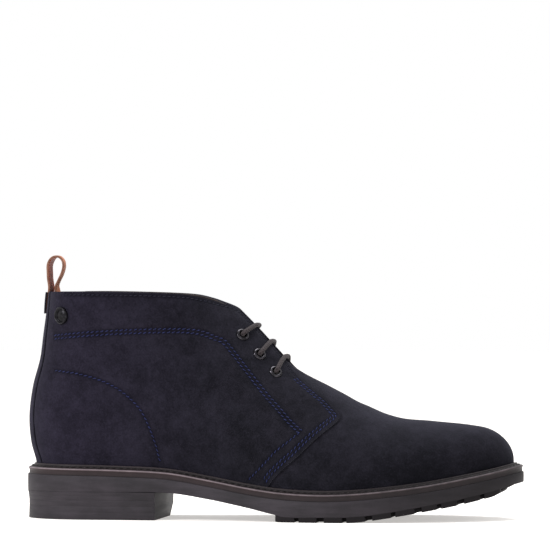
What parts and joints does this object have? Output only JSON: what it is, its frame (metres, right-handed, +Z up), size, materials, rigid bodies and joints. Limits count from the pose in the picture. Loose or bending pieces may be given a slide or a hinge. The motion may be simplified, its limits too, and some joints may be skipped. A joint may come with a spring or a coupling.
{
  "type": "chukka boot",
  "caption": "Right chukka boot: suede upper open at the collar and throat, laced over a tongue, with a back pull loop, on a welted rubber sole with heel and cleated tread.",
  "frame": {"origin": "on the floor, under the middle of the boot's bounding box", "axes": "+X to the toe, +Z up, -Y to the wearer's outer (lateral) side"},
  "size_m": [0.3014, 0.1059, 0.1589],
  "materials": {
    "suede": "dark navy suede",
    "loop_leather": "tan lining leather with a suede face",
    "sock": "smooth sock leather",
    "sole_rubber": "satin charcoal rubber",
    "welt_rubber": "satin brown-charcoal rubber",
    "gunmetal": "dark plated",
    "lace_cotton": "round waxed cord"
  },
  "bodies": {
    "root": {"top_lift": "sole_rubber", "heel": "sole_rubber", "outsole": "sole_rubber", "welt": "welt_rubber", "insole": "sock", "upper": "suede", "tongue": "suede", "pull_loop": "loop_leather", "loop_patch": "suede", "stud": "gunmetal", "eyelet_outer_1": "gunmetal", "eyelet_outer_2": "gunmetal", "eyelet_outer_3": "gunmetal", "eyelet_inner_1": "gunmetal", "eyelet_inner_2": "gunmetal", "eyelet_inner_3": "gunmetal", "lace_bar_1": "lace_cotton", "lace_bar_2": "lace_cotton", "lace_bar_3": "lace_cotton"}
  },
  "joints": []
}
